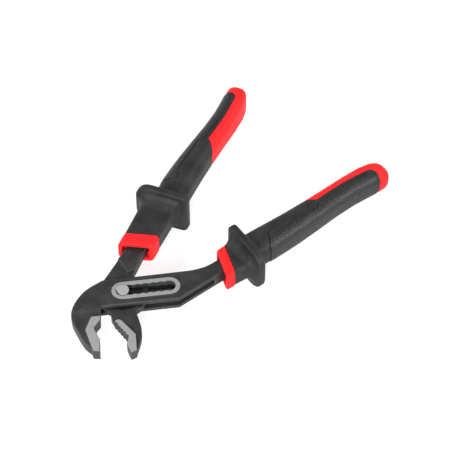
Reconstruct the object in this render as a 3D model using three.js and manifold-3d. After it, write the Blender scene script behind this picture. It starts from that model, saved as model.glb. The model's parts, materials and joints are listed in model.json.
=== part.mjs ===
// Box-joint pipe pliers, about 250 mm long.
// The inner lever passes through a window in the outer lever and turns on a pin.
// The pin sits in one of seven notches of a scalloped slot. Two flats on its body line up with the
// slot when the handles are wide open, and only then can it slide to another notch.
// Lengths are in millimetres and angles in degrees. The levers are drawn with the pin axis in the
// first notch at the origin, the slot along +X and the mid-plane of the tool at zero height. The
// finished group is then turned so that the handles point to +X and set down on its lowest face.

import * as THREE from "three";
import { mergeVertices } from "three/addons/utils/BufferGeometryUtils.js";
import Module from "manifold-3d";

const wasm = await Module();
wasm.setup();

// Clearances shared by all pieces
const fitGap = 0.3;
const cutOverrun = 6;
const bossRoot = 1;

// Slot, notches and pin
const notchCount = 7;
const notchPitch = 5.1;
const notchRadius = 4.1;
const slotNeckHalf = 3.55;
const rimWidth = 3.35;
const rimHeight = 0.4;
const rimBevel = 0.2;
const pinFlatHalf = 3.25;
const pinHeadRadius = 4.35;
const pinHeadFlat = 2.85;
const pinHeadHeight = 0.7;
const pinTailRadius = 2.2;
const rivetRadius = 3.3;
const rivetHeight = 0.8;
const washerRadius = 6;
const washerHeight = 1.1;
const arcStep = 15;
const hookCurveSteps = 3;
const crownSteps = 3;
const jawCurveSteps = 3;

// How far the handles open from the drawn pose
const openTurn = 59;

// Outer lever: box, window, hook jaw and neck
const boxHalfThick = 5.2;
const cheekRise = 11.8;
const cheekDrop = 11;
const windowHalf = 2.4;
const windowReach = 18.7;
const windowBackOffset = 17.9;
const windowEnd = 61;
const windowTopEnd = 50;
const windowLean = 6;
const leverBevel = 0.7;
const hookHalfThick = 3.8;
const hookReach = 34.8;
const hookDepth = 46.7;
const hookRoot = 15.4;
const hookStepTop = 12.4;
const hookStepRun = 2.2;
const padHeight = 0.25;
const padEdge = 0.2;
const mouthTop = 17.4;
const neckBend = 36;
const neckCrownStart = 44;
const neckEndDeep = 2.5;

// Inner lever: web, small jaw and shank
const webHalf = 2.1;
const webRadius = 17;
const shankHalfThick = 3.8;
const shoulderX = 5;
const shoulderY = 17.2;
const shoulderInner = 20.5;
const shoulderOuter = 114;
const shoulderReachShare = 2;
const jawDepth = 50.4;
const jawBack = 9.3;
const shankRootOuter = 16.4;
const shankRootInner = 0.1;
const shankRootStart = 5.5;
const shankInnerStart = 9;
const shankLead = 1.8;

// Teeth of both jaws
const toothDepth = 0.8;
const hookToothDepth = 0.4;
const toothCount = 5;
const toothMargin = 0.4;

// Tangs inside the grips
const tangHalfThick = 3.5;
const tangFrontInner = 6.2;
const tangFrontOuter = 4.4;
const tangGuardInner = 5.6;
const tangGuardOuter = 4.4;
const tangEndHalf = 3.8;
const tangLength = 66;
const shankHalf = 6.5;
const shankGuardHalf = 6.2;

// Grips: rear body, guard, sleeve and collar
const gripLength = 121.2;
const bodyHalfWidth = 10.7;
const bodyHalfThick = 11;
const bodyRound = 8;
const bowHeight = 0.8;
const guardInner = 17;
const guardOuter = 20.9;
const guardHalfThick = 16.3;
const guardRound = 4;
const guardOuterRound = 9.5;
const guardRim = 5.7;
const guardSlant = 4.7;
const guardEdge = 0.9;
const guardFillet = 3;
const sleeveFrontHalf = 11.2;
const sleeveGuardHalf = 12.1;
const sleeveHalfThick = 7.8;
const sleeveRound = 2.6;
const sleeveOuterRound = 3.8;
const collarProud = 0.5;
const collarEdge = 0.9;
const mouthHalfWidth = 8.9;
const shankMouthRoom = 1.4;
const neckMouthRoom = 0.4;
const mouthDeep = 5;
const mouthRound = 1.4;
const shellWall = 2.1;
const rearShellWall = 3.2;
const inlayDeep = 1.8;
const inlayProud = 0.4;
const cornerSteps = 6;
const regionStep = 14;

// Places of the two grips: the back face of the guard from the pin, and the headings of their axes
const leftGrip = {
  side: 1,
  guardReach: 85.7,
  guardBearing: 63.6,
  neckShift: 2.5,
  neckHeading: 60.5,
  rearHeading: 56.6,
  frontReach: 42.5,
  collarLength: 10,
  mouthHalfThick: shankHalfThick + shankMouthRoom,
  collarSlant: 15,
  flare: 8,
};
const rightGrip = {
  side: -1,
  guardReach: 90.1,
  guardBearing: 16.2,
  neckShift: 0.9,
  neckHeading: 30.7,
  rearHeading: 30.7,
  frontReach: 17.8,
  collarLength: 6.9,
  mouthHalfThick: boxHalfThick + neckMouthRoom,
  collarSlant: 22,
  flare: 6.4,
};

// Where the finished group is turned to
const groupTurn = -45;

const steelBlack = { color: 0x3b3b3c, roughness: 0.45, metalness: 0.6 };
const steelBright = { color: 0xb4b4b4, roughness: 0.4, metalness: 0.8 };
const plasticRed = { color: 0xf23338, roughness: 0.45, metalness: 0 };
const plasticBlack = { color: 0x2c2c2d, roughness: 0.55, metalness: 0 };
const plasticSoft = { color: 0x3f3f40, roughness: 0.8, metalness: 0 };

// Body of a grip behind its guard. Each row holds shares: place along the grip, half width on the
// inner and the outer side, half thickness, and corner radius on the inner and the outer side.
const bodyShares = [
  [0.128, 1.02, 0.99, 1, 1, 1],
  [0.217, 0.99, 0.96, 1, 1, 1],
  [0.307, 0.95, 0.93, 1, 1, 1],
  [0.455, 0.88, 0.88, 0.98, 0.94, 1],
  [0.604, 0.81, 0.81, 0.97, 0.84, 0.97],
  [0.743, 0.79, 0.79, 0.97, 0.74, 0.93],
  [0.862, 0.75, 0.86, 0.97, 0.65, 0.93],
  [0.93, 0.63, 0.92, 0.95, 0.6, 0.93],
  [0.965, 0.47, 0.91, 0.87, 0.54, 0.84],
  [0.985, 0.3, 0.82, 0.73, 0.45, 0.7],
  [0.996, 0.12, 0.66, 0.54, 0.35, 0.5],
  [1, -0.02, 0.5, 0.34, 0.25, 0.3],
];

// Borders on the grips in plan: place along the grip and across it, as shares of the grip's length
// and of the body's half width. Outward is positive.
const redBorderShares = [
  [0.383, -2.4],
  [0.383, -1.1],
  [0.421, -0.93],
  [0.453, -0.77],
  [0.482, -0.47],
  [0.502, -0.17],
  [0.703, -0.18],
  [0.896, -0.03],
  [0.916, 0.3],
  [0.921, 2.4],
];
const inlayBorderShares = [
  [0.091, 2.4],
  [0.091, 0.89],
  [0.125, 0.3],
  [0.137, 0.03],
  [0.173, 0.02],
  [0.198, 0.33],
  [0.474, 0.35],
  [0.499, 0.11],
  [0.703, 0.1],
  [0.872, 0.23],
  [0.899, 0.52],
  [0.903, 2.4],
];

// Where the hook's back runs into the top of the box, as shares of the hook's root and the rise
const boxTopShares = [[-0.8, 0.95]];
// Back of the hook from its tip towards the box, as shares of the hook's reach and depth
const hookBackShares = [
  [-0.63, -0.96],
  [-0.797, -0.81],
  [-0.92, -0.576],
  [-1, -0.34],
  [-0.915, -0.122],
  [-0.69, 0.09],
];
// Inner edge of the hook from its tip to the root, and the outer edge of its ground band
const hookMouthShares = [
  [-0.612, -0.985],
  [-0.537, -1],
  [-0.517, -0.775],
  [-0.6, -0.576],
  [-0.468, -0.456],
];
const hookBandShares = [
  [-0.636, -0.375],
  [-0.767, -0.6],
  [-0.664, -0.98],
];
const bandRootShare = 0.46;
// Top of the neck between the box and the right collar, as shares of the way and of the rise
const neckTopShares = [
  [0.28, 0.08],
  [0.62, 0.36],
];
// Small jaw in plan: its gripping face from the web to the tip, then its back, as shares of the
// jaw's reach behind the pin and its depth
const jawFaceShares = [
  [-0.985, -0.39],
  [-0.82, -0.462],
  [0.0, -0.738],
  [-0.15, -0.833],
  [-0.11, -0.893],
  [0.065, -1],
];
const jawBackShares = [
  [0.49, -0.964],
  [0.785, -0.835],
  [0.957, -0.712],
  [1, -0.58],
  [0.92, -0.466],
  [0.81, -0.337],
];
// The ground band of the small jaw beside its face: tail, lower and upper corner at the web
const jawBandShares = [
  [0.505, -0.964],
  [0.565, -0.705],
  [-0.28, -0.458],
  [-0.42, -0.435],
  [-0.63, -0.43],
];

const rad = (angle) => THREE.MathUtils.degToRad(angle);
const spot = (x, y) => new THREE.Vector2(x, y);
const toward = (angle, length) => spot(Math.cos(rad(angle)) * length, Math.sin(rad(angle)) * length);

// Turns a closed geometry into a solid that can be joined and cut.
function solidFrom(geometry) {
  const bare = geometry.clone();
  bare.deleteAttribute("normal");
  bare.deleteAttribute("uv");
  const merged = mergeVertices(bare);
  const triVerts = new Uint32Array(merged.index.array);
  const vertProperties = merged.attributes.position.array;
  return new wasm.Manifold(new wasm.Mesh({ numProp: 3, vertProperties, triVerts }));
}

function geometryFrom(solid) {
  const data = solid.getMesh();
  const geometry = new THREE.BufferGeometry();
  geometry.setAttribute("position", new THREE.BufferAttribute(data.vertProperties, data.numProp));
  geometry.setIndex(new THREE.BufferAttribute(data.triVerts, 1));
  const faceted = geometry.toNonIndexed();
  faceted.computeVertexNormals();
  return faceted;
}

// A plate with the given outline between two heights, with its edges bevelled if asked.
function plate(outline, low, high, bevel = 0) {
  const geometry = new THREE.ExtrudeGeometry(new THREE.Shape(outline), {
    depth: high - low - 2 * bevel,
    bevelEnabled: bevel > 0,
    bevelThickness: bevel,
    bevelSize: bevel,
    bevelOffset: -bevel,
    bevelSegments: 1,
  });
  geometry.translate(0, 0, low + bevel);
  return solidFrom(geometry);
}

// A plate that reaches the same height above and below the mid-plane.
function slab(outline, half, bevel = 0) {
  return plate(outline, -half, half, bevel);
}

// Points of an arc about a centre, ends included.
function arc(centre, radius, from, to) {
  const steps = Math.max(1, Math.ceil(Math.abs(to - from) / arcStep));
  const points = [];
  for (let i = 0; i <= steps; i++) {
    points.push(toward(from + ((to - from) * i) / steps, radius).add(centre));
  }
  return points;
}

function circle(centre, radius) {
  return arc(centre, radius, 0, 360).slice(1);
}

// Points from shares of two sizes.
function scaled(shares, width, height) {
  return shares.map(([x, y]) => spot(x * width, y * height));
}

// Points on a smooth curve through the given points, both ends kept.
function smooth(points, stepsPerSpan) {
  return new THREE.SplineCurve(points).getPoints((points.length - 1) * stepsPerSpan);
}

// A surface through rings of equal length, closed by a fan at each end.
function loft(rings) {
  const size = rings[0].length;
  const positions = rings.flat().flatMap((point) => point.toArray());
  const first = rings.length * size;
  const last = first + 1;
  for (const ring of [rings[0], rings[rings.length - 1]]) {
    const middle = new THREE.Vector3();
    ring.forEach((point) => middle.add(point));
    positions.push(...middle.divideScalar(size).toArray());
  }
  const index = [];
  for (let r = 0; r < rings.length; r++) {
    for (let i = 0; i < size; i++) {
      const here = r * size + i;
      const next = r * size + ((i + 1) % size);
      if (r === 0) {
        index.push(first, next, here);
      }
      if (r === rings.length - 1) {
        index.push(last, here, next);
      } else {
        index.push(here, next, here + size, next, next + size, here + size);
      }
    }
  }
  const geometry = new THREE.BufferGeometry();
  geometry.setAttribute("position", new THREE.Float32BufferAttribute(positions, 3));
  geometry.setIndex(index);
  return solidFrom(geometry);
}

// Centre and heading of a grip's axis. Zero is the back face of the guard, and positive runs to
// the free end. The axis bends once at the front of the guard and bows gently behind it.
function gripAxis(grip, along) {
  const guard = toward(grip.guardBearing, grip.guardReach);
  if (along < -guardRim) {
    const bend = guard.clone().add(toward(grip.rearHeading, -guardRim));
    bend.add(toward(grip.rearHeading + 90 * grip.side, grip.neckShift));
    return { centre: bend.add(toward(grip.neckHeading, along + guardRim)), heading: grip.neckHeading };
  }
  const turn = (2 * Math.PI) / gripLength;
  const bow = along > 0 ? bowHeight * Math.sin(turn * along) : 0;
  const slope = along > 0 ? bowHeight * turn * Math.cos(turn * along) : 0;
  const centre = guard.add(toward(grip.rearHeading, along));
  centre.add(toward(grip.rearHeading + 90 * grip.side, bow));
  const fade = Math.min(1, Math.max(0, along) / guardRim);
  const lean = fade * THREE.MathUtils.radToDeg(Math.atan(slope));
  return { centre, heading: grip.rearHeading + grip.side * lean };
}

// A plan point of a grip: along its axis and outward from it.
function gripSpot(grip, along, outward) {
  const { centre, heading } = gripAxis(grip, along);
  return centre.clone().add(toward(heading + 90 * grip.side, outward));
}

// A rounded rectangle across a grip's axis. The outer corners have a radius of their own, and the
// ring leans forward on the outer side by the row's slant.
function gripRing(grip, row) {
  const inner = Math.min(row.round, row.thick, (row.inner + row.outer) / 2);
  const outer = Math.min(row.outerRound, row.thick, (row.inner + row.outer) / 2);
  const lean = Math.tan(rad(row.slant));
  const corners = [
    [row.outer - outer, row.thick - outer, outer, 0],
    [inner - row.inner, row.thick - inner, inner, 90],
    [inner - row.inner, inner - row.thick, inner, 180],
    [row.outer - outer, outer - row.thick, outer, 270],
  ];
  const { centre, heading } = gripAxis(grip, row.along);
  const ring = [];
  for (const [across, up, round, start] of corners) {
    for (let i = 0; i <= cornerSteps; i++) {
      const edge = toward(start + (90 * i) / cornerSteps, round);
      const outward = across + edge.x;
      const flat = toward(heading, -lean * outward).add(centre);
      flat.add(toward(heading + 90 * grip.side, outward));
      ring.push(new THREE.Vector3(flat.x, flat.y, up + edge.y));
    }
  }
  return grip.side > 0 ? ring : ring.reverse();
}

function gripLoft(grip, rows) {
  return loft(rows.map((row) => gripRing(grip, row)));
}

// A row with its outline moved outward by a distance, or inward by a negative one.
function grown(row, distance) {
  return {
    along: row.along,
    slant: row.slant,
    inner: row.inner + distance,
    outer: row.outer + distance,
    thick: row.thick + distance,
    round: Math.max(row.round + distance, fitGap),
    outerRound: Math.max(row.outerRound + distance, fitGap),
  };
}

function mixRows(a, b, share) {
  const mixed = {};
  for (const key of Object.keys(a)) {
    mixed[key] = THREE.MathUtils.lerp(a[key], b[key], share);
  }
  return mixed;
}

// The sleeve widens a little from the collar to the guard.
function sleeveRow(grip, along, slant = 0) {
  const share = Math.min(1, (along - collarStart(grip)) / grip.frontReach);
  const half = THREE.MathUtils.lerp(sleeveFrontHalf, sleeveGuardHalf, share);
  return {
    along,
    slant,
    inner: half,
    outer: half,
    thick: sleeveHalfThick,
    round: sleeveRound,
    outerRound: sleeveOuterRound,
  };
}

function collarStart(grip) {
  return -guardRim - grip.frontReach;
}

function bodyRows() {
  return bodyShares.map(([along, inner, outer, thick, round, outerRound]) => ({
    along: along * gripLength,
    slant: 0,
    inner: inner * bodyHalfWidth,
    outer: outer * bodyHalfWidth,
    thick: thick * bodyHalfThick,
    round: round * bodyRound,
    outerRound: outerRound * bodyRound,
  }));
}

// Rows of the guard: a hollow flare in front, a rim with broken edges and a fillet behind.
function guardRows(grip) {
  const full = {
    along: 0,
    slant: guardSlant,
    inner: guardInner,
    outer: guardOuter,
    thick: guardHalfThick,
    round: guardRound,
    outerRound: guardOuterRound,
  };
  const edged = grown(full, -guardEdge);
  const body = bodyRows()[0];
  const rows = [];
  const flareSteps = 4;
  for (let i = 0; i < flareSteps; i++) {
    const turn = (i * Math.PI) / 2 / flareSteps;
    const row = mixRows(sleeveRow(grip, -guardRim), edged, 1 - Math.cos(turn));
    rows.push({ ...row, along: -guardRim - grip.flare * (1 - Math.sin(turn)) });
  }
  rows.push({ ...edged, along: -guardRim });
  rows.push({ ...full, along: guardEdge - guardRim });
  rows.push({ ...full, along: -guardEdge });
  rows.push({ ...edged, along: 0 });
  const backSteps = 3;
  for (let i = 1; i <= backSteps; i++) {
    const turn = (i * Math.PI) / 2 / backSteps;
    const row = mixRows(edged, body, Math.sin(turn));
    rows.push({ ...row, along: guardFillet * (1 - Math.cos(turn)) });
  }
  return rows;
}

// The full outer surface of a grip from the slanted back edge of its collar to its end. The body
// behind the guard may be swollen a little.
function outerGrip(grip, swell = 0) {
  const front = collarStart(grip) + grip.collarLength + fitGap;
  return gripLoft(grip, [
    sleeveRow(grip, front, grip.collarSlant),
    ...guardRows(grip),
    ...bodyRows().map((row) => grown(row, swell)),
  ]);
}

// The same surface without the guard, moved inward. The wall may grow from front to rear.
function insetGrip(grip, frontWall, rearWall, frontStart) {
  return gripLoft(grip, [
    grown(sleeveRow(grip, frontStart, grip.collarSlant), -frontWall),
    grown(sleeveRow(grip, -guardRim - grip.flare), -frontWall),
    grown(sleeveRow(grip, -guardRim), -frontWall),
    ...bodyRows().slice(0, -2).map((row) => grown(row, -rearWall)),
  ]);
}

// A plan region of a grip as an upright solid. The border is given along and outward, in lengths.
function gripRegion(grip, border) {
  const outline = [];
  border.forEach(([along, outward], i) => {
    const [nextAlong, nextOutward] = border[(i + 1) % border.length];
    const span = Math.hypot(nextAlong - along, nextOutward - outward);
    const steps = Math.ceil(span / regionStep);
    for (let k = 0; k < steps; k++) {
      const share = k / steps;
      const a = THREE.MathUtils.lerp(along, nextAlong, share);
      const b = THREE.MathUtils.lerp(outward, nextOutward, share);
      outline.push(gripSpot(grip, a, b));
    }
  });
  return slab(outline, guardHalfThick + cutOverrun);
}

// Moves each point of an open border square to itself, to the left of its direction.
function offsetBorder(border, distance) {
  return border.map((point, i) => {
    const before = border[Math.max(0, i - 1)];
    const after = border[Math.min(border.length - 1, i + 1)];
    const run = Math.hypot(after[0] - before[0], after[1] - before[1]);
    const dx = (after[0] - before[0]) / run;
    const dy = (after[1] - before[1]) / run;
    return [point[0] - dy * distance, point[1] + dx * distance];
  });
}

function borderOf(shares) {
  return shares.map(([along, outward]) => [along * gripLength, outward * bodyHalfWidth]);
}

// The inner flank and the whole free end, where the red core shows.
function redRegion(grip, grow) {
  const border = offsetBorder(borderOf(redBorderShares), grow);
  const end = gripLength + cutOverrun;
  const far = border[0][1];
  return gripRegion(grip, [...border, [end, border[border.length - 1][1]], [end, far]]);
}

// The outer flank, which carries the soft inlay.
function inlayRegion(grip, grow) {
  return gripRegion(grip, offsetBorder(borderOf(inlayBorderShares), -grow));
}

// The front collar: slightly proud of the sleeve, slanted, with a broken edge at both ends.
function collarBody(grip) {
  const start = collarStart(grip);
  const end = start + grip.collarLength;
  const row = (along, by) => grown(sleeveRow(grip, along, grip.collarSlant), by);
  return gripLoft(grip, [
    row(start, collarProud - collarEdge),
    row(start + collarEdge, collarProud),
    row(end - fitGap, collarProud),
    row(end, collarProud - fitGap),
  ]);
}

// Plan outline of a tang, widened by a clearance. Each station holds its place along the grip and
// the tang's reach to the inner and to the outer side of the axis.
function tangOutline(grip, stations, grow) {
  const outer = stations.map(([along, , half]) => gripSpot(grip, along, half + grow));
  const inner = stations.map(([along, half]) => gripSpot(grip, along, -half - grow));
  return [...outer, ...inner.reverse()];
}

function leftTangStations(grow) {
  return [
    [collarStart(leftGrip) - cutOverrun, shankHalf, shankHalf],
    [-guardRim - leftGrip.flare, shankGuardHalf, shankGuardHalf],
    [0, shankGuardHalf, shankGuardHalf],
    [tangLength + grow, tangEndHalf, tangEndHalf],
  ];
}

function rightTangStations(grow) {
  return [
    [collarStart(rightGrip) - cutOverrun, tangFrontInner, tangFrontOuter],
    [0, tangGuardInner, tangGuardOuter],
    [tangLength + grow, tangEndHalf, tangEndHalf],
  ];
}

// The hollow of a grip: a close pocket for the tang and a wider mouth in the collar.
function gripBore(grip, stations) {
  const start = collarStart(grip);
  const mouthRow = (along) => ({
    along,
    slant: grip.collarSlant,
    inner: mouthHalfWidth,
    outer: mouthHalfWidth,
    thick: grip.mouthHalfThick,
    round: mouthRound,
    outerRound: mouthRound,
  });
  const mouth = gripLoft(grip, [mouthRow(start - cutOverrun), mouthRow(start + mouthDeep)]);
  return mouth.add(slab(tangOutline(grip, stations, fitGap), tangHalfThick + fitGap));
}

// The red core, the black shell and the soft inlay of one grip.
function gripPieces(grip, stations) {
  const outer = outerGrip(grip);
  const start = collarStart(grip);
  const coreTube = insetGrip(grip, shellWall + fitGap, rearShellWall + fitGap, start + collarEdge);
  const core = coreTube
    .add(outer.intersect(redRegion(grip, 0)))
    .add(collarBody(grip))
    .subtract(gripBore(grip, stations));
  const cavity = insetGrip(grip, shellWall, rearShellWall, start);
  const inlayFloor = insetGrip(grip, inlayDeep, inlayDeep, start);
  const recessFloor = insetGrip(grip, inlayDeep + fitGap, inlayDeep + fitGap, start);
  const shell = outer
    .subtract(cavity)
    .subtract(redRegion(grip, fitGap))
    .subtract(inlayRegion(grip, fitGap).subtract(recessFloor));
  const inlay = outerGrip(grip, inlayProud).intersect(inlayRegion(grip, 0)).subtract(inlayFloor);
  return { core, shell, inlay };
}

// The scalloped slot: notches along both edges and a round end at each side.
function slotOutline() {
  const waist = THREE.MathUtils.radToDeg(Math.asin(slotNeckHalf / notchRadius));
  const points = [];
  for (let i = 0; i < notchCount; i++) {
    const from = i === 0 ? 180 : 180 + waist;
    const to = i === notchCount - 1 ? 360 : 360 - waist;
    points.push(...arc(spot(i * notchPitch, 0), notchRadius, from, to));
  }
  for (let i = notchCount - 1; i >= 0; i--) {
    const from = i === notchCount - 1 ? 0 : waist;
    const to = i === 0 ? 180 : 180 - waist;
    points.push(...arc(spot(i * notchPitch, 0), notchRadius, from, to).slice(from === 0 ? 1 : 0));
  }
  return points.slice(0, -1);
}

function rimOutline() {
  const end = spot((notchCount - 1) * notchPitch, 0);
  const radius = notchRadius + rimWidth;
  return [...arc(end, radius, -90, 90), ...arc(spot(0, 0), radius, 90, 270)];
}

// Grooves between the teeth of a straight stretch of a jaw, with the steel on its left.
function toothGrooves(from, to, depth, half) {
  const whole = to.clone().sub(from);
  const first = from.clone().add(whole.clone().setLength(toothMargin));
  const along = whole.setLength((whole.length() - 2 * toothMargin) / toothCount);
  const inward = spot(-along.y, along.x).setLength(depth);
  let grooves = null;
  for (let i = 0; i < toothCount; i++) {
    const start = first.clone().addScaledVector(along, i);
    const end = start.clone().add(along);
    const deep = end.clone().add(inward);
    const outline = [start.clone().sub(inward), end.clone().sub(inward), deep, start];
    const groove = slab(outline, half + cutOverrun);
    grooves = grooves ? grooves.add(groove) : groove;
  }
  return grooves;
}

// The window that the inner lever passes through. Its back wall is round about the pin and then
// runs off in line with the edge of the web when the handles are wide open.
function boxWindow() {
  const wallHeading = shankHeading() + openTurn;
  const lowBearing = 180 + THREE.MathUtils.radToDeg(Math.asin(cheekDrop / windowReach));
  const wallStart = toward(wallHeading + 90, windowBackOffset);
  const bottom = -cheekDrop - cutOverrun;
  const topHeight = cheekRise + cutOverrun;
  const outline = [
    toward(wallHeading, hookReach).add(wallStart),
    wallStart,
    ...arc(spot(0, 0), windowReach, wallHeading + 90, lowBearing).slice(1),
    spot(-hookRoot, bottom),
    spot(windowEnd - windowLean, bottom),
    spot(windowEnd, 0),
    spot(windowEnd, cheekRise / 2),
    spot(windowTopEnd, topHeight),
    spot(windowTopEnd - windowLean, hookReach),
  ];
  return slab(outline, windowHalf);
}

// Heading of the left edge of the shank, from the root to the front of the left collar.
function shankHeading() {
  const root = shankOuterRoot();
  const front = gripSpot(leftGrip, collarStart(leftGrip), shankHalf);
  return THREE.MathUtils.radToDeg(Math.atan2(front.y - root.y, front.x - root.x));
}

function shankOuterRoot() {
  const heading = leftGrip.neckHeading;
  return toward(heading, shankRootStart).add(toward(heading + 90, shankRootOuter));
}

function outerLeverOutline() {
  const back = scaled(hookBackShares, hookReach, hookDepth);
  const boxTop = scaled(boxTopShares, hookRoot, cheekRise);
  const mouth = scaled(hookMouthShares, hookReach, hookDepth);
  const hookBack = smooth([...back, ...boxTop], hookCurveSteps);
  const collarFront = collarStart(rightGrip);
  const tang = rightTangStations(0);
  const neckTopEnd = gripSpot(rightGrip, collarFront + neckEndDeep, -tangFrontInner);
  const neckTopStart = spot(neckCrownStart, cheekRise);
  const rise = neckTopEnd.clone().sub(neckTopStart);
  const neckTop = neckTopShares.map(([x, y]) => spot(x * rise.x, y * rise.y).add(neckTopStart));
  const crown = smooth([neckTopStart, ...neckTop, neckTopEnd], crownSteps);
  const neckLowEnd = gripSpot(rightGrip, collarFront + neckEndDeep, tangFrontOuter);
  const tangInner = tang.slice(1).map(([along, half]) => gripSpot(rightGrip, along, -half));
  const tangOuter = tang.slice(1).map(([along, , half]) => gripSpot(rightGrip, along, half));
  return {
    steel: [
      ...mouth,
      spot(-hookRoot, -cheekDrop),
      spot(neckBend, -cheekDrop),
      neckLowEnd,
      ...crown.slice().reverse(),
      ...hookBack.slice().reverse(),
    ],
    tang: [neckLowEnd, ...tangOuter, ...tangInner.reverse(), neckTopEnd],
  };
}

// Cuts the box down to the thickness of the hook along a sloped step below the window.
function hookStepCut() {
  const profile = [
    spot(-hookStepTop, boxHalfThick),
    spot(-hookStepTop - hookStepRun, hookHalfThick),
    spot(-hookDepth - cutOverrun, hookHalfThick),
    spot(-hookDepth - cutOverrun, boxHalfThick + cutOverrun),
    spot(-hookStepTop, boxHalfThick + cutOverrun),
  ];
  const geometry = new THREE.ExtrudeGeometry(new THREE.Shape(profile), {
    depth: hookReach + cutOverrun,
    bevelEnabled: false,
  });
  geometry.applyMatrix4(new THREE.Matrix4().makeBasis(
    new THREE.Vector3(0, 1, 0),
    new THREE.Vector3(0, 0, 1),
    new THREE.Vector3(1, 0, 0),
  ));
  geometry.translate(-hookReach - cutOverrun, 0, 0);
  return solidFrom(geometry);
}

function mirrored(solid) {
  return solid.mirror([0, 0, 1]);
}

function outerLever() {
  const { steel, tang } = outerLeverOutline();
  const step = hookStepCut();
  const mouth = scaled(hookMouthShares, hookReach, hookDepth);
  const band = scaled(hookBandShares, hookReach, hookDepth);
  const bandOutline = [...band, ...mouth.slice(1), spot(-hookReach * bandRootShare, -mouthTop)];
  const bandTop = hookHalfThick + padHeight;
  let body = slab(steel, boxHalfThick, leverBevel).subtract(step).subtract(mirrored(step));
  body = body.add(slab(bandOutline, bandTop, padEdge));
  body = body.add(slab(rimOutline(), boxHalfThick + rimHeight, rimBevel));
  body = body.add(slab(tang, tangHalfThick));
  body = body.subtract(boxWindow());
  body = body.subtract(slab(slotOutline(), boxHalfThick + cutOverrun));
  return body.subtract(toothGrooves(mouth[2], mouth[3], hookToothDepth, hookHalfThick));
}

// The thick part of the shank in plan: it ends in two shoulders that meet in a V above the box.
function shoulderWedge() {
  const tip = spot(shoulderX, shoulderY);
  const reach = gripLength * shoulderReachShare;
  return [
    tip,
    toward(shoulderInner, reach).add(tip),
    toward((shoulderInner + shoulderOuter) / 2, reach * shoulderReachShare).add(tip),
    toward(shoulderOuter, reach).add(tip),
  ];
}

function innerLeverOutline() {
  const heading = leftGrip.neckHeading;
  const face = scaled(jawFaceShares, jawBack, jawDepth);
  const back = smooth(scaled(jawBackShares, jawBack, jawDepth), jawCurveSteps);
  const collarFront = collarStart(leftGrip);
  const outerRoot = shankOuterRoot();
  const innerRoot = toward(heading, shankInnerStart).add(toward(heading + 90, shankRootInner));
  const outerFront = gripSpot(leftGrip, collarFront - shankLead, shankHalf);
  const innerFront = gripSpot(leftGrip, collarFront - shankLead, -shankHalf);
  const webAngle = THREE.MathUtils.radToDeg(Math.atan2(outerRoot.y, outerRoot.x));
  const neckAngle = THREE.MathUtils.radToDeg(Math.atan2(face[0].y, face[0].x)) + 360;
  const web = arc(spot(0, 0), webRadius, webAngle, neckAngle - arcStep / 2);
  return {
    whole: [outerFront, outerRoot, ...web.slice(1), ...face, ...back, innerRoot, innerFront],
    tang: tangOutline(leftGrip, leftTangStations(0), 0),
  };
}

function innerLever() {
  const { whole, tang } = innerLeverOutline();
  const face = scaled(jawFaceShares, jawBack, jawDepth);
  const wedge = slab(shoulderWedge(), boxHalfThick);
  const web = slab(circle(spot(0, 0), webRadius), webHalf).add(slab(whole, webHalf));
  const shank = slab(whole, shankHalfThick, leverBevel).add(slab(tang, tangHalfThick));
  const band = [...face.slice(1), ...scaled(jawBandShares, jawBack, jawDepth)];
  const bore = slab(circle(spot(0, 0), notchRadius), boxHalfThick);
  return web
    .add(shank.intersect(wedge))
    .add(slab(band, shankHalfThick, padEdge))
    .subtract(bore)
    .subtract(toothGrooves(face[1], face[2], toothDepth, shankHalfThick));
}

// A disc with its sides cut flat, square to the given heading.
function flattened(radius, flats, heading) {
  const cut = radius + cutOverrun;
  const outline = [
    spot(-cut, -flats[0]),
    spot(cut, -flats[0]),
    spot(cut, flats[1]),
    spot(-cut, flats[1]),
  ];
  return outline.map((point) => point.rotateAround(spot(0, 0), rad(heading)));
}

// The pin: its flats lie along the slot when the handles are wide open. Its tail is riveted over
// the washer.
function pivotPin() {
  const bodyRadius = notchRadius - fitGap;
  const faceHeight = boxHalfThick + rimHeight;
  const tall = faceHeight + cutOverrun;
  const flats = slab(flattened(bodyRadius, [pinFlatHalf, pinFlatHalf], -openTurn), tall);
  const shaft = plate(circle(spot(0, 0), bodyRadius), -faceHeight, faceHeight + bossRoot / 2);
  const headCut = slab(flattened(pinHeadRadius, [pinHeadFlat, pinHeadRadius], -openTurn), tall);
  const headLow = faceHeight + fitGap;
  const head = plate(circle(spot(0, 0), pinHeadRadius), headLow, headLow + pinHeadHeight, rimBevel);
  const rivetTop = -faceHeight - fitGap - washerHeight - fitGap;
  const tail = plate(circle(spot(0, 0), pinTailRadius), rivetTop - rimBevel, bossRoot - faceHeight);
  const rivet = plate(circle(spot(0, 0), rivetRadius), rivetTop - rivetHeight, rivetTop, rimBevel);
  return shaft.intersect(flats).add(head.intersect(headCut)).add(tail).add(rivet);
}

function pivotWasher() {
  const top = -boxHalfThick - rimHeight - fitGap;
  const disc = plate(circle(spot(0, 0), washerRadius), top - washerHeight, top, rimBevel);
  return disc.subtract(slab(circle(spot(0, 0), pinTailRadius + fitGap), boxHalfThick + cutOverrun));
}

function meshOf(name, solid, finish) {
  const mesh = new THREE.Mesh(geometryFrom(solid), new THREE.MeshStandardMaterial(finish));
  mesh.name = name;
  return mesh;
}

function gripGroup(name, grip, stations) {
  const pieces = gripPieces(grip, stations);
  const group = new THREE.Group();
  group.add(meshOf(name + "_grip_core", pieces.core, plasticRed));
  group.add(meshOf(name + "_grip_shell", pieces.shell, plasticBlack));
  group.add(meshOf(name + "_grip_inlay", pieces.inlay, plasticSoft));
  return group;
}

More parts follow.
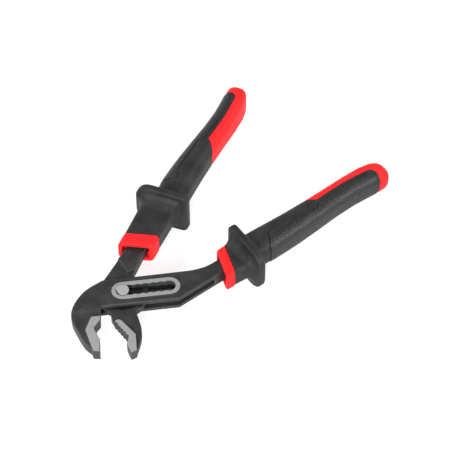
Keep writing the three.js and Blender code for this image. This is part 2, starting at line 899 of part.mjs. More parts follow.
const tool = new THREE.Group();
tool.add(meshOf("outer_lever", outerLever(), steelBlack));
tool.add(meshOf("inner_lever", innerLever(), steelBlack));
tool.add(meshOf("pivot_pin", pivotPin(), steelBright));
tool.add(meshOf("pivot_washer", pivotWasher(), steelBright));
tool.add(gripGroup("left", leftGrip, leftTangStations(fitGap)));
tool.add(gripGroup("right", rightGrip, rightTangStations(fitGap)));
tool.rotation.z = rad(groupTurn);

const root = new THREE.Group();
root.add(tool);
root.updateMatrixWorld(true);
const bounds = new THREE.Box3().setFromObject(root, true);
const middle = bounds.getCenter(new THREE.Vector3());
tool.position.set(-middle.x, -middle.y, -bounds.min.z);

export default root;
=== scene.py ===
"""Pipe pliers with a box joint, dressed for a plain studio picture.

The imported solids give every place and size. Each piece is rebuilt here as a fine skin with eased edges
and a procedural finish, and rides on the body that its solid belongs to.
"""

import json
import logging
import math
from dataclasses import dataclass, field
from enum import Enum

import bpy
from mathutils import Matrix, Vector


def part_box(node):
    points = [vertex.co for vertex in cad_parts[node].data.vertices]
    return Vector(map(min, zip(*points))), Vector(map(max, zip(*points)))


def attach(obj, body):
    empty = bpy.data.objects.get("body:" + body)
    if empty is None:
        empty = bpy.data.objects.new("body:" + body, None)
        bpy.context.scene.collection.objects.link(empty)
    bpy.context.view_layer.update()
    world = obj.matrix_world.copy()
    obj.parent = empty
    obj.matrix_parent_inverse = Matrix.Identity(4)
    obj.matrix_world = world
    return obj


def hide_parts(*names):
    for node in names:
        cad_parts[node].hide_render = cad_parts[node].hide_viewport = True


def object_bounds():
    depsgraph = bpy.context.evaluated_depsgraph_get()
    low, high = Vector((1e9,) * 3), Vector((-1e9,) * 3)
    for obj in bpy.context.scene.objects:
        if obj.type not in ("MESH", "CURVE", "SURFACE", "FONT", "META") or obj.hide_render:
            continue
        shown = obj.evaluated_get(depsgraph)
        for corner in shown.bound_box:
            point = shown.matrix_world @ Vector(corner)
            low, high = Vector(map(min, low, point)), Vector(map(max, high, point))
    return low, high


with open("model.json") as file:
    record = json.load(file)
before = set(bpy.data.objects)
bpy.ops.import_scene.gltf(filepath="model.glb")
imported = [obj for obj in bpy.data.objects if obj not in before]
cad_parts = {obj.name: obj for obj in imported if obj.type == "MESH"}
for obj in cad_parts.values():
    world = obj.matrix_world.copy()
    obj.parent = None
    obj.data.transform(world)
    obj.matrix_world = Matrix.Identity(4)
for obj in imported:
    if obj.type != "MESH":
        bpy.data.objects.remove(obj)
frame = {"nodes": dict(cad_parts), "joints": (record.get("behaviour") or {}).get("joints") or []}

CAD_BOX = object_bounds()
MM = 0.001
LOG = logging.getLogger("pliers")
SEARCH_RAYS = 6
FINE_RELIEF = 0.5
TWO_SHARES = 2

Tone = tuple[float, float, float]
SolidTone = tuple[float, float, float, float]
Way = tuple[float, float, float]
Span = tuple[float, float]
Socket = bpy.types.NodeSocket

UP: Way = (0, 0, 1)
WHITE: SolidTone = (1, 1, 1, 1)


class Body(Enum):
    """The bodies that move against each other."""

    OUTER = "outer"
    SLIDER = "slider"
    INNER = "inner"


class Slot(Enum):
    """The record's material slots."""

    LEVER_STEEL = "lever_steel"
    PIN_STEEL = "pin_steel"
    HARD_RED = "hard_red"
    HARD_BLACK = "hard_black"
    SOFT_BLACK = "soft_black"


def pivot_point() -> Vector:
    """The middle of the pin's axis, in metres."""
    hinges = [joint for joint in frame["joints"] if joint["type"] == "hinge"]
    return Vector(hinges[0]["pos_m"])


def reach_along(node: str, way: Vector) -> float:
    """How far a solid reaches along a direction, in metres."""
    return max(way.dot(vertex.co) for vertex in frame["nodes"][node].data.vertices)


class Graph:
    """A material's node tree, with short ways to add and link nodes."""

    def __init__(self, name: str) -> None:
        """Starts a material that holds only its shader.

        Args:
            name: The material's name.
        """
        self.material = bpy.data.materials.new(name)
        self.material.use_nodes = True
        self.tree = self.material.node_tree
        self.tree.nodes.clear()
        output = self.tree.nodes.new("ShaderNodeOutputMaterial")
        self.shader = self.tree.nodes.new("ShaderNodeBsdfPrincipled")
        self.tree.links.new(self.shader.outputs["BSDF"], output.inputs["Surface"])
        self.place = self.tree.nodes.new("ShaderNodeTexCoord").outputs["Object"]

    def link(self, source: Socket, target: Socket) -> None:
        """Links source to target."""
        self.tree.links.new(source, target)

    def noise(self, size: float, detail: float) -> Socket:
        """Adds a noise texture in the object's own coordinates.

        Args:
            size: The size of a grain in metres.
            detail: Number of finer octaves.

        Returns:
            The noise value, from 0 to 1.
        """
        texture = self.tree.nodes.new("ShaderNodeTexNoise")
        texture.inputs["Scale"].default_value = 1 / size
        texture.inputs["Detail"].default_value = detail
        self.link(self.place, texture.inputs["Vector"])
        return texture.outputs["Fac"]

    def mottle(self, cloud: Socket, grain: Socket) -> Socket:
        """Lays grain over clouds.

        Args:
            cloud: The wide noise, from 0 to 1.
            grain: The fine noise, from 0 to 1.

        Returns:
            Their mean.
        """
        return self.spread(self.sum_up("ADD", cloud, grain), 0, 1, end=TWO_SHARES)

    def ramp(self, share: Socket, first: Tone, last: Tone, span: Span) -> Socket:
        """Adds a ramp between two colours.

        Args:
            share: The value that picks the colour.
            first: The colour up to the span's start.
            last: The colour from the span's end.
            span: Where on share the ramp starts and ends.

        Returns:
            The colour.
        """
        ramp = self.tree.nodes.new("ShaderNodeValToRGB")
        for stop, place, tone in zip(ramp.color_ramp.elements, span, (first, last)):
            stop.position = place
            stop.color = (*tone, 1)
        self.link(share, ramp.inputs["Fac"])
        return ramp.outputs["Color"]

    def spread(self, share: Socket, low: float, high: float, start: float = 0, end: float = 1) -> Socket:
        """Stretches a value from start..end to low..high, and holds it there.

        Args:
            share: The value to stretch.
            low: What start becomes.
            high: What end becomes.
            start: The value that gives low.
            end: The value that gives high.

        Returns:
            The stretched value.
        """
        spread = self.tree.nodes.new("ShaderNodeMapRange")
        spread.inputs["From Min"].default_value = start
        spread.inputs["From Max"].default_value = end
        spread.inputs["To Min"].default_value = low
        spread.inputs["To Max"].default_value = high
        self.link(share, spread.inputs["Value"])
        return spread.outputs["Result"]

    def reach(self, source: Socket, way: Way) -> Socket:
        """Measures a vector along a direction.

        Args:
            source: The vector.
            way: The direction.

        Returns:
            Its length along the direction.
        """
        product = self.tree.nodes.new("ShaderNodeVectorMath")
        product.operation = "DOT_PRODUCT"
        product.inputs[1].default_value = way
        self.link(source, product.inputs[0])
        return product.outputs["Value"]

    def away_from(self, point: Vector) -> Socket:
        """Measures how far each spot is from a point.

        Args:
            point: The point, in metres.

        Returns:
            The distance in metres.
        """
        distance = self.tree.nodes.new("ShaderNodeVectorMath")
        distance.operation = "DISTANCE"
        distance.inputs[1].default_value = point
        self.link(self.place, distance.inputs[0])
        return distance.outputs["Value"]

    def off_level(self, level: float) -> Socket:
        """Measures how far each spot is above or below a level."""
        return self.unsigned(self.sum_up("SUBTRACT", self.reach(self.place, UP), level))

    def unsigned(self, value: Socket) -> Socket:
        """Drops a value's sign."""
        return self.sum_up("ABSOLUTE", value, 0)

    def sum_up(self, kind: str, first: Socket, second: Socket | float) -> Socket:
        """Works out one sum.

        Args:
            kind: The sum, such as MULTIPLY or MAXIMUM.
            first: The first value.
            second: The second value.

        Returns:
            What comes out.
        """
        sum_node = self.tree.nodes.new("ShaderNodeMath")
        sum_node.operation = kind
        self.link(first, sum_node.inputs[0])
        if isinstance(second, (int, float)):
            sum_node.inputs[1].default_value = second
        else:
            self.link(second, sum_node.inputs[1])
        return sum_node.outputs["Value"]

    def mix(self, share: Socket, under: Socket, over: Socket) -> Socket:
        """Lays one colour over another.

        Args:
            share: How much of the upper colour shows.
            under: The lower colour.
            over: The upper colour.

        Returns:
            The mixed colour.
        """
        mix = self.tree.nodes.new("ShaderNodeMix")
        mix.data_type = "RGBA"
        self.link(share, mix.inputs["Factor"])
        colours = [socket for socket in mix.inputs if socket.type == "RGBA"]
        self.link(under, colours[0])
        self.link(over, colours[1])
        return next(socket for socket in mix.outputs if socket.type == "RGBA")

    def closeness(self, reach: float, within: bool, span: Span) -> Socket:
        """Tells how much surface is close by: the piece's own back, or whatever is in front of it.

        Args:
            reach: How far the search goes, in metres.
            within: Whether the search goes inwards, which finds edges, or outwards, which finds grooves.
            span: The closeness that gives 0, and the one that gives 1.

        Returns:
            1 on edges or in grooves, and 0 on open faces.
        """
        search = self.tree.nodes.new("ShaderNodeAmbientOcclusion")
        search.inside = within
        search.only_local = within
        search.samples = SEARCH_RAYS
        search.inputs["Distance"].default_value = reach
        return self.spread(search.outputs["AO"], 1, 0, 1 - span[1], 1 - span[0])

    def relief(self, height: Socket, depth: float, strength: float) -> None:
        """Adds relief to the shader's normal, over any relief that is there.

        Args:
            height: The relief, from 0 to 1.
            depth: The relief's real depth in metres.
            strength: How much of it shows.
        """
        bump = self.tree.nodes.new("ShaderNodeBump")
        bump.inputs["Distance"].default_value = depth
        bump.inputs["Strength"].default_value = strength
        self.link(height, bump.inputs["Height"])
        normal = self.shader.inputs["Normal"]
        if normal.links:
            self.link(normal.links[0].from_socket, bump.inputs["Normal"])
        self.link(bump.outputs["Normal"], normal)


@dataclass(frozen=True)
class GroundFlats:
    """The faces of a lever that are ground bare, and the face that runs in the box, which gets painted
    shade.

    Attributes:
        heights: How far the ground faces are from the mid-plane, in metres as all lengths here.
        tip_way: The direction that the ground tip faces.
        tip_reach: How far the tip reaches along that direction.
        jaw_way: The direction from the pin to the jaws.
        jaw_start: Where along it the ground faces start, or none for the whole lever.
        box_shade_radius: How far the painted shade on the running face reaches round the pin.
        box_shade_fade: Over which width the painted shade fades out.
        slack: How far a ground face may be off its height.
        fade: Over which height or length a ground face fades out.
        level: The steepest face that counts as level, as the share of its normal that points up.
        level_fade: Over which share it fades out.
    """

    heights: tuple[float, ...]
    tip_way: Way
    tip_reach: float
    jaw_way: Way = (0, -1, 0)
    jaw_start: float | None = None
    box_shade_radius: float = 0
    box_shade_fade: float = 1.5 * MM
    slack: float = 0.1 * MM
    fade: float = 0.04 * MM
    level: float = 0.95
    level_fade: float = 0.02

    def band_share(self, graph: Graph) -> Socket:
        """Builds the share of bare band at each spot.

        Args:
            graph: The material's graph.

        Returns:
            1 on the ground bands and 0 elsewhere.
        """
        height = graph.off_level(pivot_point().z)
        share = None
        for target in self.heights:
            miss = graph.unsigned(graph.sum_up("SUBTRACT", height, target))
            near = graph.spread(miss, 1, 0, self.slack, self.slack + self.fade)
            share = near if share is None else graph.sum_up("MAXIMUM", share, near)
        normal = graph.tree.nodes.new("ShaderNodeTexCoord").outputs["Normal"]
        level = graph.unsigned(graph.reach(normal, UP))
        flat = graph.spread(level, 0, 1, self.level, self.level + self.level_fade)
        share = graph.sum_up("MULTIPLY", share, flat)
        if self.jaw_start is None:
            return share
        forward = graph.reach(graph.place, self.jaw_way)
        on_jaw = graph.spread(forward, 0, 1, self.jaw_start, self.jaw_start + self.fade)
        return graph.sum_up("MULTIPLY", share, on_jaw)

    def box_shade_share(self, graph: Graph) -> Socket:
        """Builds the share of painted shade on the running face, round the pin, at each spot.

        Args:
            graph: The material's graph.

        Returns:
            1 on the face that runs in the box and 0 elsewhere.
        """
        away = graph.away_from(pivot_point())
        return graph.spread(away, 1, 0, self.box_shade_radius, self.box_shade_radius + self.box_shade_fade)

    def tip_share(self, graph: Graph) -> Socket:
        """Builds the share of ground tip at each spot.

        Args:
            graph: The material's graph.

        Returns:
            1 on the tip's end face and 0 elsewhere.
        """
        end = graph.reach(graph.place, self.tip_way)
        full = self.tip_reach - self.slack
        return graph.spread(end, 0, 1, full - self.fade, full)


@dataclass(frozen=True)
class WearAndShade:
    """Rubbed edges, and painted shade in grooves.

    Attributes:
        wear_reach: How far inwards the search for edges goes, in metres.
        wear_span: The closeness where rubbing starts, and the one where it is full.
        groove_reach: How far outwards the search for grooves goes, in metres.
        groove_span: The closeness where the painted shade starts, and the one where it is full.
    """

    wear_reach: float
    wear_span: Span = (0.1, 0.5)
    groove_reach: float = 1.2 * MM
    groove_span: Span = (0.25, 0.8)

    def over(self, graph: Graph, coat: Socket, worn: Socket, painted_shade: Socket) -> Socket:
        """Lays both over a colour.

        Args:
            graph: The material's graph.
            coat: The colour of open faces.
            worn: The colour of rubbed edges.
            painted_shade: The painted shade laid into grooves.

        Returns:
            The colour with rubbed edges and painted shade in grooves.
        """
        rubbed = graph.mix(graph.closeness(self.wear_reach, True, self.wear_span), coat, worn)
        # Painted shade: grooves found by the outward search get a near-black colour.
        return graph.mix(graph.closeness(self.groove_reach, False, self.groove_span), rubbed, painted_shade)


@dataclass(frozen=True)
class LeverSteel:
    """Forged steel, blasted and blackened, with bare ground bands, a dull ground tip and painted shade in
    grooves and in the box.

    Attributes:
        dark: The darkest blackened coat.
        light: The lightest blackened coat.
        worn: The coat where an edge is rubbed through.
        deep_shade: The darkest painted shade, in grooves and on the face that runs in the box.
        tip_dark: The darkest spot of the ground tip.
        tip_light: The lightest spot of the ground tip.
        band_dark: The darkest spot of the bare bands.
        band_light: The lightest spot of the bare bands.
        shine: The roughness in the grain's pits and on its peaks.
        specular: The strength of reflections.
        metal: How metallic the bare bands are.
        grain: The size of the blasted grain.
        grain_detail: The grain's finer octaves.
        grain_span: The part of the grain's noise that runs from dark to light.
        cloud: The size of the clouds in the coat.
        cloud_detail: The clouds' finer octaves.
        coat_span: The part of the mottle that runs from dark to light.
        shade_span: The part of the clouds that runs from the darkest painted shade to dark.
        wear_and_shade: The rubbed edges, and the painted shade in grooves.
        pit: The depth of the grain.
    """

    dark: Tone = (0.008, 0.008, 0.009)
    light: Tone = (0.028, 0.028, 0.029)
    worn: Tone = (0.105, 0.105, 0.106)
    deep_shade: Tone = (0.003, 0.003, 0.003)
    tip_dark: Tone = (0.024, 0.024, 0.025)
    tip_light: Tone = (0.038, 0.038, 0.039)
    band_dark: Tone = (0.19, 0.19, 0.19)
    band_light: Tone = (0.29, 0.29, 0.29)
    shine: Span = (0.42, 0.55)
    specular: float = 0.26
    metal: float = 0.3
    grain: float = 0.75 * MM
    grain_detail: int = 4
    grain_span: Span = (0.25, 0.75)
    cloud: float = 9 * MM
    cloud_detail: int = 3
    coat_span: Span = (0.35, 0.65)
    shade_span: Span = (0.4, 1)
    wear_and_shade: WearAndShade = WearAndShade(wear_reach=0.9 * MM)
    pit: float = 0.06 * MM

    def material(self, name: str, flats: GroundFlats) -> bpy.types.Material:
        """Builds the material of one lever.

        Args:
            name: The material's name.
            flats: Where the lever is ground.

        Returns:
            The finished material.
        """
        graph = Graph(name)
        cloud = graph.noise(self.cloud, self.cloud_detail)
        grain = graph.noise(self.grain, self.grain_detail)
        coat = graph.ramp(graph.mottle(cloud, grain), self.dark, self.light, self.coat_span)
        worn = graph.ramp(grain, self.light, self.worn, self.grain_span)
        # Painted shade, clouded from near black to the dark coat, for grooves and the face that runs in
        # the box.
        painted_shade = graph.ramp(cloud, self.deep_shade, self.dark, self.shade_span)
        coat = self.wear_and_shade.over(graph, coat, worn, painted_shade)
        # Painted shade on the inner lever's face round the pin, where it runs in the box.
        coat = graph.mix(flats.box_shade_share(graph), coat, painted_shade)
        tip = graph.ramp(grain, self.tip_dark, self.tip_light, self.grain_span)
        coat = graph.mix(flats.tip_share(graph), coat, tip)
        bare = graph.ramp(grain, self.band_dark, self.band_light, self.grain_span)
        band = flats.band_share(graph)
        graph.link(graph.mix(band, coat, bare), graph.shader.inputs["Base Color"])
        graph.link(graph.spread(grain, *self.shine), graph.shader.inputs["Roughness"])
        graph.link(graph.spread(band, 0, self.metal), graph.shader.inputs["Metallic"])
        graph.shader.inputs["Specular IOR Level"].default_value = self.specular
        graph.relief(grain, self.pit, FINE_RELIEF)
        return graph.material


@dataclass(frozen=True)
class PinSteel:
    """Turned steel, blasted bare on both heads, with painted shade on the dark body between them.

    Attributes:
        body_shade_dark: The darkest spot of the painted shade on the body.
        body_shade_light: The lightest spot of the painted shade on the body.
        head_start: How far from the mid-plane the bare heads start.
        head_fade: Over which height the painted shade fades out.
        dark: The darkest spot of the heads.
        light: The lightest spot of the heads.
        shine: The roughness in the grain's pits and on its peaks.
        metal: How metallic the pin is.
        grain: The size of the blasted grain.
        grain_detail: The grain's finer octaves.
        grain_span: The part of the grain's noise that runs from dark to light.
        pit: The depth of the grain.
    """

    body_shade_dark: Tone = (0.003, 0.003, 0.003)
    body_shade_light: Tone = (0.009, 0.009, 0.009)
    head_start: float = 4.4 * MM
    head_fade: float = 0.3 * MM
    dark: Tone = (0.24, 0.24, 0.24)
    light: Tone = (0.33, 0.33, 0.33)
    shine: Span = (0.42, 0.56)
    metal: float = 0.3
    grain: float = 0.4 * MM
    grain_detail: int = 3
    grain_span: Span = (0.25, 0.75)
    pit: float = 0.02 * MM

    def material(self) -> bpy.types.Material:
        """Builds the material.

        Returns:
            The finished material.
        """
        graph = Graph("pin_steel")
        grain = graph.noise(self.grain, self.grain_detail)
        height = graph.off_level(pivot_point().z)
        head = graph.spread(height, 0, 1, self.head_start, self.head_start + self.head_fade)
        bare = graph.ramp(grain, self.dark, self.light, self.grain_span)
        # Painted shade: the pin's body between the heads, in the slot, is coloured near black.
        deep_shade = graph.ramp(grain, self.body_shade_dark, self.body_shade_light, self.grain_span)
        graph.link(graph.mix(head, deep_shade, bare), graph.shader.inputs["Base Color"])
        graph.link(graph.spread(grain, *self.shine), graph.shader.inputs["Roughness"])
        graph.shader.inputs["Metallic"].default_value = self.metal
        graph.relief(grain, self.pit, FINE_RELIEF)
        return graph.material


@dataclass(frozen=True)
class HardPlastic:
    """Moulded hard plastic with a fine spark-eroded grain, lighter rubbed edges and painted shade in
    grooves.

    Attributes:
        name: The material's name.
        dark: The darkest open face.
        light: The lightest open face.
        edge: The lightest rubbed edge.
        groove_shade: The darkest painted shade in grooves.
        shine: The roughness in the grain's pits and on its peaks.
        specular: The strength of reflections.
        grain: The size of the eroded grain.
        grain_detail: The grain's finer octaves.
        grain_span: The part of the grain's noise that runs from light to rubbed.
        cloud: The size of the clouds.
        cloud_detail: The clouds' finer octaves.
        body_span: The part of the mottle that runs from dark to light.
        shade_span: The part of the clouds that runs from the darkest painted shade to dark.
        wear_and_shade: The rubbed edges, and the painted shade in grooves.
        pit: The depth of the grain.
    """

    name: str
    dark: Tone
    light: Tone
    edge: Tone
    groove_shade: Tone
    shine: Span = (0.42, 0.55)
    specular: float = 0.16
    grain: float = 0.65 * MM
    grain_detail: int = 4
    grain_span: Span = (0.1, 0.6)
    cloud: float = 14 * MM
    cloud_detail: int = 2
    body_span: Span = (0.35, 0.65)
    shade_span: Span = (0.4, 1)
    wear_and_shade: WearAndShade = WearAndShade(wear_reach=0.8 * MM)
    pit: float = 0.045 * MM

    def material(self) -> bpy.types.Material:
        """Builds the material.

        Returns:
            The finished material.
        """
        graph = Graph(self.name)
        cloud = graph.noise(self.cloud, self.cloud_detail)
        grain = graph.noise(self.grain, self.grain_detail)
        body = graph.ramp(graph.mottle(cloud, grain), self.dark, self.light, self.body_span)
        edge = graph.ramp(grain, self.light, self.edge, self.grain_span)
        # Painted shade for grooves, clouded from the groove shade to the dark body.
        painted_shade = graph.ramp(cloud, self.groove_shade, self.dark, self.shade_span)
        graph.link(self.wear_and_shade.over(graph, body, edge, painted_shade), graph.shader.inputs["Base Color"])
        graph.link(graph.spread(grain, *self.shine), graph.shader.inputs["Roughness"])
        graph.shader.inputs["Specular IOR Level"].default_value = self.specular
        graph.relief(grain, self.pit, FINE_RELIEF)
        return graph.material


@dataclass(frozen=True)
class SoftRubber:
    """Soft moulded rubber with a pebbled surface.

    Attributes:
        dark: The seams between pebbles.
        light: The tops of the pebbles.
        shine: The roughness on the tops and in the seams.
        specular: The strength of reflections.
        pebble: The size of a pebble.
        pebble_span: The part of a pebble's slope that runs from light to dark.
        depth: The height of a pebble.
        relief_share: How much of that height shows.
    """

    dark: Tone = (0.007, 0.007, 0.008)
    light: Tone = (0.032, 0.032, 0.033)
    shine: Span = (0.36, 0.54)
    specular: float = 0.3
    pebble: float = 0.95 * MM
    pebble_span: Span = (0.15, 0.6)
    depth: float = 0.1 * MM
    relief_share: float = 0.6

    def material(self) -> bpy.types.Material:
        """Builds the material.

        Returns:
            The finished material.
        """
        graph = Graph("soft_rubber")
        pebble = graph.tree.nodes.new("ShaderNodeTexVoronoi")
        pebble.inputs["Scale"].default_value = 1 / self.pebble
        graph.link(graph.place, pebble.inputs["Vector"])
        height = pebble.outputs["Distance"]
        colour = graph.ramp(height, self.light, self.dark, self.pebble_span)
        graph.link(colour, graph.shader.inputs["Base Color"])
        graph.link(graph.spread(height, *self.shine), graph.shader.inputs["Roughness"])
        graph.shader.inputs["Specular IOR Level"].default_value = self.specular
        graph.relief(height, -self.depth, self.relief_share)
        return graph.material


@dataclass(frozen=True)
class Skin:
    """How a faceted solid becomes a fine surface with eased edges.

    Attributes:
        grid: The size of the even cells, in metres.
        passes: How often the edges are eased.
        keep_share: The share of faces that is kept at the end.
        ease_share: How far each pass goes.
        flat_weight: How much large faces lead the shading.
    """

    grid: float
    passes: int
    keep_share: float
    ease_share: float = 0.5
    flat_weight: int = 70

    def fine_copy(self, node: str) -> bpy.types.Object:
        """Copies a solid as a fine, eased mesh.

        Args:
            node: The solid to copy.

        Returns:
            The new piece, linked to the scene.
        """
        name = f"{node}_fine"
        piece = bpy.data.objects.new(name, frame["nodes"][node].data.copy())
        bpy.context.scene.collection.objects.link(piece)
        cells = piece.modifiers.new("even_cells", "REMESH")
        cells.mode = "VOXEL"
        cells.voxel_size = self.grid
        ease = piece.modifiers.new("eased_edges", "SMOOTH")
        ease.factor = self.ease_share
        ease.iterations = self.passes
        thin = piece.modifiers.new("fewer_faces", "DECIMATE")
        thin.ratio = self.keep_share
        even = piece.modifiers.new("flat_faces_lead", "WEIGHTED_NORMAL")
        even.mode = "FACE_AREA"
        even.weight = self.flat_weight
        depsgraph = bpy.context.evaluated_depsgraph_get()
        fine = bpy.data.meshes.new_from_object(piece.evaluated_get(depsgraph))
        fine.name = name
        piece.modifiers.clear()
        piece.data = fine
        fine.shade_smooth()
        fine.materials.clear()
        return piece


def dress(piece: bpy.types.Object, node: str, body: Body, material: bpy.types.Material) -> None:
    """Gives a piece its finish, hides the solid that it stands for and ties the piece to its body.

    Args:
        piece: The piece to dress.
        node: The solid that it stands for.
        body: The body that it rides on.
        material: The piece's finish.
    """
    piece.data.materials.append(material)
    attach(piece, body.value)
    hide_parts(node)
    LOG.info("%s: %d faces", piece.name, len(piece.data.polygons))


@dataclass
class Levers:
    """The two forged levers with their ground jaw bands, slot rim and tips.

    Attributes:
        skin: The skin of both levers.
        hook_band: How far the hook jaw's ground band is from the mid-plane.
        small_band: How far the small jaw's ground band is from the mid-plane.
        small_band_start: How far from the pin the small jaw's band may start.
        running_radius: How far from the pin the inner lever runs in the box.
        hook_tip_way: The direction that the hook jaw's tip faces.
        small_tip_way: The direction that the small jaw's tip faces.
    """

    skin: Skin = Skin(grid=0.24 * MM, passes=3, keep_share=0.3)
    hook_band: float = 4.05 * MM
    small_band: float = 3.8 * MM
    small_band_start: float = 8 * MM
    running_radius: float = 13 * MM
    hook_tip_way: Way = (-0.84, -0.55, 0)
    small_tip_way: Way = (-0.36, -0.93, 0)

    def build(self) -> None:
        """Builds and dresses both levers."""
        middle = pivot_point()
        outer = GroundFlats(
            heights=(self.hook_band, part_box("outer_lever")[1].z - middle.z),
            tip_way=self.hook_tip_way,
            tip_reach=reach_along("outer_lever", Vector(self.hook_tip_way)),
        )
        inner = GroundFlats(
            heights=(self.small_band,),
            tip_way=self.small_tip_way,
            tip_reach=reach_along("inner_lever", Vector(self.small_tip_way)),
            jaw_start=self.small_band_start - middle.y,
            # Within this radius the inner lever's face gets painted shade.
            box_shade_radius=self.running_radius,
        )
        for node, body, flats in (("outer_lever", Body.OUTER, outer), ("inner_lever", Body.INNER, inner)):
            steel = LeverSteel().material(f"{node}_steel", flats)
            dress(self.skin.fine_copy(node), node, body, steel)


@dataclass
class Pivot:
    """The pin with its flats, and the washer riveted on its back end."""

    skin: Skin = Skin(grid=0.16 * MM, passes=3, keep_share=0.6)

    def build(self) -> None:
        """Builds and dresses the pin and its washer."""
        steel = PinSteel().material()
        for node, body in (("pivot_pin", Body.INNER), ("pivot_washer", Body.SLIDER)):
            dress(self.skin.fine_copy(node), node, body, steel)


@dataclass
class Grip:
    """One three-part grip: hard red core, hard black shell and soft inlay.

    Attributes:
        side: The side in the photograph, as the solids' names say it.
        body: The body that the grip rides on.
        skin: The skin of the shell and the inlay.
        core_skin: The skin of the core, eased more where its red strip runs out thin.
    """

    side: str
    body: Body
    skin: Skin = Skin(grid=0.28 * MM, passes=8, keep_share=0.25)
    core_skin: Skin = Skin(grid=0.28 * MM, passes=18, keep_share=0.25)

    def build(self, finishes: dict[str, tuple[Slot, bpy.types.Material]]) -> None:
        """Builds and dresses the grip's three mouldings.

        Args:
            finishes: The material slot and finish of the core, the shell and the inlay.
        """
        for part, (slot, material) in finishes.items():
            node = f"{self.side}_grip_{part}"
            skin = self.core_skin if part == "core" else self.skin
            dress(skin.fine_copy(node), node, self.body, material)


@dataclass(frozen=True)
class Softbox:
    """One square area light that faces the pliers.

    Attributes:
        name: The light's name.
        place: Where it hangs, in metres.
        power: Its power in watts.
        size: Its side in metres.
    """

    name: str
    place: Way
    power: float
    size: float = 0.6

    def build(self) -> None:
        """Hangs the light."""
        light = bpy.data.lights.new(self.name, "AREA")
        light.shape = "SQUARE"
        light.size = self.size
        light.energy = self.power
        lamp = bpy.data.objects.new(self.name, light)
        lamp.location = self.place
        lamp.rotation_euler = (-Vector(self.place)).to_track_quat("-Z", "Y").to_euler()
        bpy.context.scene.collection.objects.link(lamp)


@dataclass
class Studio:
    """A lit pale floor, soft side lights and surroundings that are brightest at the horizon.

    Attributes:
        floor_size: The floor's side in metres.
        floor_tone: The colour that the floor throws back.
        floor_glow: The light that the floor gives off, which keeps it pale under the pliers.
        floor_roughness: How dull the floor is.
        zenith_strength: The brightness overhead.
        horizon_strength: The brightness at the horizon.
        softboxes: The lights round the pliers.
    """

    floor_size: float = 6.0
    floor_tone: SolidTone = (0.32, 0.32, 0.32, 1)
    floor_glow: float = 0.78
    floor_roughness: float = 0.9
    zenith_strength: float = 0.33
    horizon_strength: float = 0.72
    softboxes: tuple[Softbox, ...] = (
        Softbox("right_softbox", (1.1, -0.35, 0.6), power=4),
        Softbox("front_softbox", (0.3, -1.2, 0.55), power=11),
        Softbox("back_softbox", (-0.1, 1.0, 1.0), power=12),
        Softbox("left_softbox", (-1.1, -0.5, 0.6), power=25),
    )

    def build(self) -> None:
        """Builds the floor, the surroundings and the lights."""
        self.floor()
        self.air()
        for softbox in self.softboxes:
            softbox.build()

    def air(self) -> None:
        """Makes the surroundings, dim overhead and bright at the horizon."""
        world = bpy.data.worlds.new("studio_air")
        world.use_nodes = True
        nodes, links = world.node_tree.nodes, world.node_tree.links
        way = nodes.new("ShaderNodeTexCoord").outputs["Generated"]
        height = nodes.new("ShaderNodeSeparateXYZ")
        links.new(way, height.inputs["Vector"])
        strength = nodes.new("ShaderNodeMapRange")
        strength.inputs["To Min"].default_value = self.horizon_strength
        strength.inputs["To Max"].default_value = self.zenith_strength
        links.new(height.outputs["Z"], strength.inputs["Value"])
        air = nodes["Background"]
        air.inputs["Color"].default_value = WHITE
        links.new(strength.outputs["Result"], air.inputs["Strength"])
        bpy.context.scene.world = world

    def floor(self) -> None:
        """Lays the pale floor just under the pliers."""
        half = self.floor_size / 2
        level = CAD_BOX[0].z
        mesh = bpy.data.meshes.new("studio_floor")
        corners = [(-half, -half, level), (half, -half, level), (half, half, level), (-half, half, level)]
        mesh.from_pydata(corners, [], [(0, 1, 2, 3)])
        plane = bpy.data.objects.new("studio_floor", mesh)
        bpy.context.scene.collection.objects.link(plane)
        graph = Graph("pale_floor")
        graph.shader.inputs["Base Color"].default_value = self.floor_tone
        graph.shader.inputs["Roughness"].default_value = self.floor_roughness
        graph.shader.inputs["Specular IOR Level"].default_value = 0
        graph.shader.inputs["Emission Color"].default_value = WHITE
        graph.shader.inputs["Emission Strength"].default_value = self.floor_glow
        mesh.materials.append(graph.material)


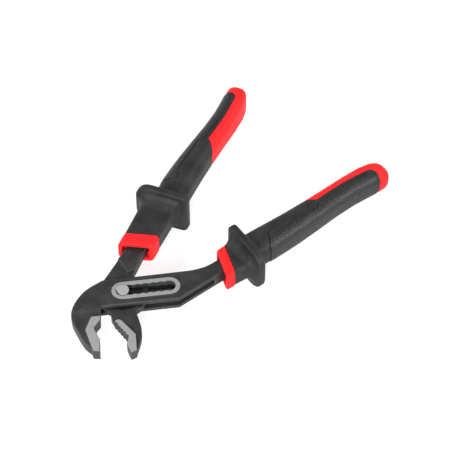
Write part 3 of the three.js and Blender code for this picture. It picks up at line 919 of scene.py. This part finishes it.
@dataclass
class PhotoCamera:
    """The camera at the photograph's angle, placed from the pin.

    Attributes:
        from_pin: The way from the pin to the camera, in metres.
        tilt: The angle from looking straight down, in degrees.
        turn: The angle about the upright axis, in degrees.
        lens: The focal length in millimetres.
        sensor: The sensor's width in millimetres.
        near: The nearest distance that is drawn, in metres.
        far: The farthest distance that is drawn, in metres.
    """

    from_pin: Vector = field(default_factory=lambda: Vector((-490.09, -454.38, 806.75)) * MM)
    tilt: float = 42
    turn: float = -52.95
    lens: float = 127.43
    sensor: float = 36
    near: float = 0.05
    far: float = 20

    def build(self) -> None:
        """Places the camera and makes it the scene's own."""
        data = bpy.data.cameras.new("photo_camera")
        data.sensor_width = self.sensor
        data.lens = self.lens
        data.clip_start = self.near
        data.clip_end = self.far
        camera = bpy.data.objects.new("photo_camera", data)
        camera.location = pivot_point() + self.from_pin
        camera.rotation_euler = (math.radians(self.tilt), 0, math.radians(self.turn))
        bpy.context.scene.collection.objects.link(camera)
        bpy.context.scene.camera = camera


def grip_finishes() -> dict[str, tuple[Slot, bpy.types.Material]]:
    """Builds the finishes that both grips share.

    Returns:
        The material slot and finish of the core, the shell and the inlay.
    """
    red = HardPlastic(
        name="hard_red",
        dark=(0.80, 0.009, 0.011),
        light=(0.90, 0.018, 0.020),
        edge=(0.94, 0.028, 0.030),
        groove_shade=(0.55, 0.006, 0.007),
        shine=(0.5, 0.62),
        specular=0.12,
    )
    black = HardPlastic(
        name="hard_black",
        dark=(0.009, 0.009, 0.010),
        light=(0.029, 0.029, 0.030),
        edge=(0.060, 0.060, 0.061),
        groove_shade=(0.002, 0.002, 0.002),
    )
    return {
        "core": (Slot.HARD_RED, red.material()),
        "shell": (Slot.HARD_BLACK, black.material()),
        "inlay": (Slot.SOFT_BLACK, SoftRubber().material()),
    }


def main() -> None:
    """Builds the camera, the studio and the pieces in order."""
    logging.basicConfig(level=logging.INFO, format="%(name)s %(message)s")
    bpy.context.scene.view_settings.view_transform = "Standard"
    PhotoCamera().build()
    Studio().build()
    Levers().build()
    Pivot().build()
    finishes = grip_finishes()
    Grip("left", Body.INNER).build(finishes)
    Grip("right", Body.OUTER).build(finishes)


if __name__ == "__main__":
    main()
